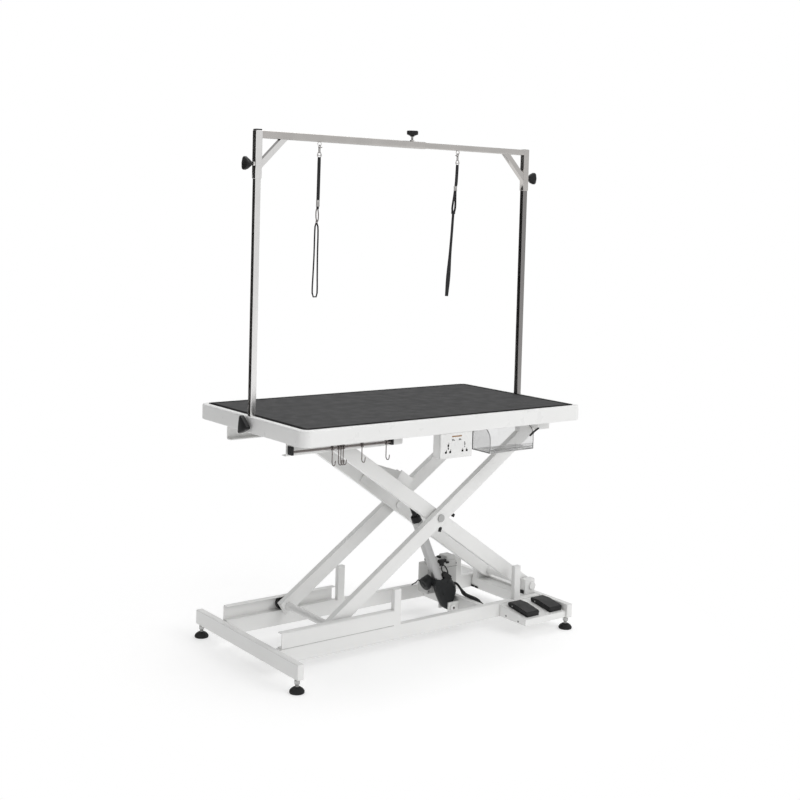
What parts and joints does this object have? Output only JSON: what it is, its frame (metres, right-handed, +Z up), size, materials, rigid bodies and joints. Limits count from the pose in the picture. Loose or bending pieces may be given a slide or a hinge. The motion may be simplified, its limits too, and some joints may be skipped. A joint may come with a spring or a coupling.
{
  "type": "pet grooming table",
  "caption": "Electric scissor-lift pet grooming table: rubber-matted top on crossed arms driven by a linear actuator, with foot pedals, a telescopic overhead arch and hanging nooses.",
  "frame": {"origin": "floor under the middle of the table", "axes": "+X along the top to the pedal end, +Y to the back, +Z up"},
  "size_m": [1.2494, 0.6704, 1.7904],
  "materials": {
    "white_paint": "smooth white powder coat",
    "stainless": "polished stainless steel",
    "zinc_steel": "zinc-plated steel",
    "black_rubber": "matt black rubber",
    "black_plastic": "satin black plastic",
    "white_plastic": "white moulded plastic",
    "grey_plastic": "light grey moulded plastic",
    "grey_metal": "grey extruded aluminium",
    "clear_acrylic": "clear acrylic sheet",
    "black_webbing": "black woven webbing"
  },
  "bodies": {
    "base": {"base_rail_front": "white_paint", "base_rail_rear": "white_paint", "base_beam_left": "white_paint", "base_beam_right": "white_paint", "base_cross_tube": "white_paint", "pedal_tray": "white_paint", "pedal_base_left": "black_plastic", "pedal_base_right": "black_plastic", "control_box": "grey_plastic", "actuator_lead": "black_rubber"},
    "inner_frame": {"inner_arm_front": "white_paint", "inner_arm_rear": "white_paint", "inner_cross_beam": "white_paint", "lower_pivot_shaft": "zinc_steel", "inner_roller_axle": "zinc_steel", "centre_bolt_front": "zinc_steel", "centre_bolt_rear": "zinc_steel"},
    "outer_frame": {"outer_arm_front": "white_paint", "outer_arm_rear": "white_paint", "outer_roller_axle": "zinc_steel", "upper_pivot_shaft": "zinc_steel"},
    "top": {"tabletop": "white_paint", "rubber_mat": "black_rubber", "top_underframe": "white_paint", "hook_rail": "stainless", "socket_box": "white_plastic", "socket_plate": "white_plastic", "tool_tray": "clear_acrylic", "post_left": "stainless", "post_right": "stainless"},
    "arch": {"arch_left": "stainless", "arch_right": "stainless"},
    "actuator": {"actuator_housing": "black_plastic", "actuator_tube": "grey_metal"},
    "rod": {"actuator_rod": "zinc_steel"},
    "noose_left": {"noose_snap_left": "stainless", "noose_strap_left": "black_webbing"},
    "noose_right": {"noose_snap_right": "stainless", "noose_strap_right": "black_webbing"},
    "level_foot_front_left": {"level_foot_front_left": "black_rubber"},
    "level_foot_front_right": {"level_foot_front_right": "black_rubber"},
    "level_foot_rear_left": {"level_foot_rear_left": "black_rubber"},
    "level_foot_rear_right": {"level_foot_rear_right": "black_rubber"},
    "roller_lower_front": {"roller_lower_front": "black_plastic"},
    "roller_lower_rear": {"roller_lower_rear": "black_plastic"},
    "roller_upper_front": {"roller_upper_front": "black_plastic"},
    "roller_upper_rear": {"roller_upper_rear": "black_plastic"},
    "table_knob_left": {"table_knob_left": "black_plastic"},
    "table_knob_right": {"table_knob_right": "black_plastic"},
    "sleeve_knob_left": {"sleeve_knob_left": "black_plastic"},
    "sleeve_knob_right": {"sleeve_knob_right": "black_plastic"},
    "bar_knob": {"bar_knob": "black_plastic"},
    "pedal_left": {"pedal_left": "black_plastic"},
    "pedal_right": {"pedal_right": "black_plastic"},
    "hook_1": {"hook_1": "stainless"},
    "hook_2": {"hook_2": "stainless"},
    "hook_3": {"hook_3": "stainless"},
    "hook_4": {"hook_4": "stainless"},
    "hook_5": {"hook_5": "stainless"},
    "hook_6": {"hook_6": "stainless"}
  },
  "joints": [
    {"name": "lift", "type": "hinge", "parent": "base", "child": "inner_frame", "pos_m": [0.553, 0, 0.12], "axis": [0, 1, 0], "range_deg": [-21, 3]},
    {"name": "scissor", "type": "hinge", "parent": "inner_frame", "child": "outer_frame", "pos_m": [0.10318, 0, 0.43124], "axis": [0, 1, 0], "range_deg": [-6.5, 42.5]},
    {"name": "top_level", "type": "hinge", "parent": "outer_frame", "child": "top", "pos_m": [0.553, 0, 0.74248], "axis": [0, 1, 0], "range_deg": [-21.5, 3.5]},
    {"name": "actuator_swing", "type": "hinge", "parent": "base", "child": "actuator", "pos_m": [0.25, -0.021, 0.062], "axis": [0, 1, 0], "range_deg": [-26.75, 4.25], "deforming": ["actuator_lead"]},
    {"name": "rod_swing", "type": "hinge", "parent": "inner_frame", "child": "rod", "pos_m": [0.02018, -0.021, 0.56613], "axis": [0, 1, 0], "range_deg": [-5.75, 1.25]},
    {"name": "arch_slide", "type": "slide", "parent": "top", "child": "arch", "axis": [0, 0, 1], "range_m": [-0.055, 0.015]},
    {"name": "level_foot_front_left_screw", "type": "slide", "parent": "base", "child": "level_foot_front_left", "axis": [0, 0, 1], "range_m": [-0.014, 0.003]},
    {"name": "level_foot_front_right_screw", "type": "slide", "parent": "base", "child": "level_foot_front_right", "axis": [0, 0, 1], "range_m": [-0.014, 0.003]},
    {"name": "level_foot_rear_left_screw", "type": "slide", "parent": "base", "child": "level_foot_rear_left", "axis": [0, 0, 1], "range_m": [-0.014, 0.003]},
    {"name": "level_foot_rear_right_screw", "type": "slide", "parent": "base", "child": "level_foot_rear_right", "axis": [0, 0, 1], "range_m": [-0.014, 0.003]},
    {"name": "pedal_left_press", "type": "hinge", "parent": "base", "child": "pedal_left", "pos_m": [0.412, -0.222, 0.0942], "axis": [1, 0, 0], "range_deg": [0, 2], "stiffness_Nm_per_rad": 7, "springref_deg": -3.44},
    {"name": "pedal_right_press", "type": "hinge", "parent": "base", "child": "pedal_right", "pos_m": [0.5235, -0.222, 0.0942], "axis": [1, 0, 0], "range_deg": [0, 2], "stiffness_Nm_per_rad": 7, "springref_deg": -3.44},
    {"name": "roller_lower_front_spin", "type": "hinge", "parent": "outer_frame", "child": "roller_lower_front", "pos_m": [-0.34664, -0.17075, 0.12], "axis": [0, 1, 0], "continuous": true},
    {"name": "roller_lower_rear_spin", "type": "hinge", "parent": "outer_frame", "child": "roller_lower_rear", "pos_m": [-0.34664, 0.17075, 0.12], "axis": [0, 1, 0], "continuous": true},
    {"name": "roller_upper_front_spin", "type": "hinge", "parent": "inner_frame", "child": "roller_upper_front", "pos_m": [-0.34664, -0.17075, 0.74248], "axis": [0, 1, 0], "continuous": true},
    {"name": "roller_upper_rear_spin", "type": "hinge", "parent": "inner_frame", "child": "roller_upper_rear", "pos_m": [-0.34664, 0.17075, 0.74248], "axis": [0, 1, 0], "continuous": true},
    {"name": "hook_1_swing", "type": "hinge", "parent": "top", "child": "hook_1", "pos_m": [-0.399, -0.2, 0.733], "axis": [1, 0, 0], "range_deg": [-60, 12]},
    {"name": "hook_2_swing", "type": "hinge", "parent": "top", "child": "hook_2", "pos_m": [-0.374, -0.2, 0.733], "axis": [1, 0, 0], "range_deg": [-60, 12]},
    {"name": "hook_3_swing", "type": "hinge", "parent": "top", "child": "hook_3", "pos_m": [-0.365, -0.2, 0.733], "axis": [1, 0, 0], "range_deg": [-60, 12]},
    {"name": "hook_4_swing", "type": "hinge", "parent": "top", "child": "hook_4", "pos_m": [-0.356, -0.2, 0.733], "axis": [1, 0, 0], "range_deg": [-60, 12]},
    {"name": "hook_5_swing", "type": "hinge", "parent": "top", "child": "hook_5", "pos_m": [-0.281, -0.2, 0.733], "axis": [1, 0, 0], "range_deg": [-60, 12]},
    {"name": "hook_6_swing", "type": "hinge", "parent": "top", "child": "hook_6", "pos_m": [-0.182, -0.2, 0.733], "axis": [1, 0, 0], "range_deg": [-60, 12]},
    {"name": "table_knob_left_turn", "type": "hinge", "parent": "top", "child": "table_knob_left", "pos_m": [-0.6, 0, 0.79398], "axis": [1, 0, 0], "continuous": true},
    {"name": "table_knob_right_turn", "type": "hinge", "parent": "top", "child": "table_knob_right", "pos_m": [0.6, 0, 0.79398], "axis": [1, 0, 0], "continuous": true},
    {"name": "sleeve_knob_left_turn", "type": "hinge", "parent": "arch", "child": "sleeve_knob_left", "pos_m": [-0.59725, 0, 1.645], "axis": [1, 0, 0], "continuous": true},
    {"name": "sleeve_knob_right_turn", "type": "hinge", "parent": "arch", "child": "sleeve_knob_right", "pos_m": [0.59725, 0, 1.645], "axis": [1, 0, 0], "continuous": true},
    {"name": "bar_knob_turn", "type": "hinge", "parent": "arch", "child": "bar_knob", "pos_m": [0.045, 0, 1.75325], "axis": [0, 0, 1], "continuous": true},
    {"name": "noose_left_swing", "type": "hinge", "parent": "arch", "child": "noose_left", "pos_m": [-0.345, 0, 1.71555], "axis": [1, 0, 0], "range_deg": [-45, 45]},
    {"name": "noose_right_swing", "type": "hinge", "parent": "arch", "child": "noose_right", "pos_m": [0.255, 0, 1.71755], "axis": [1, 0, 0], "range_deg": [-45, 45]}
  ],
  "couplings": [
    {"joint": "scissor", "follows": "lift", "ratio": -2},
    {"joint": "top_level", "follows": "lift", "ratio": 1},
    {"joint": "actuator_swing", "follows": "lift", "ratio": 1.25},
    {"joint": "rod_swing", "follows": "lift", "ratio": 0.25}
  ]
}
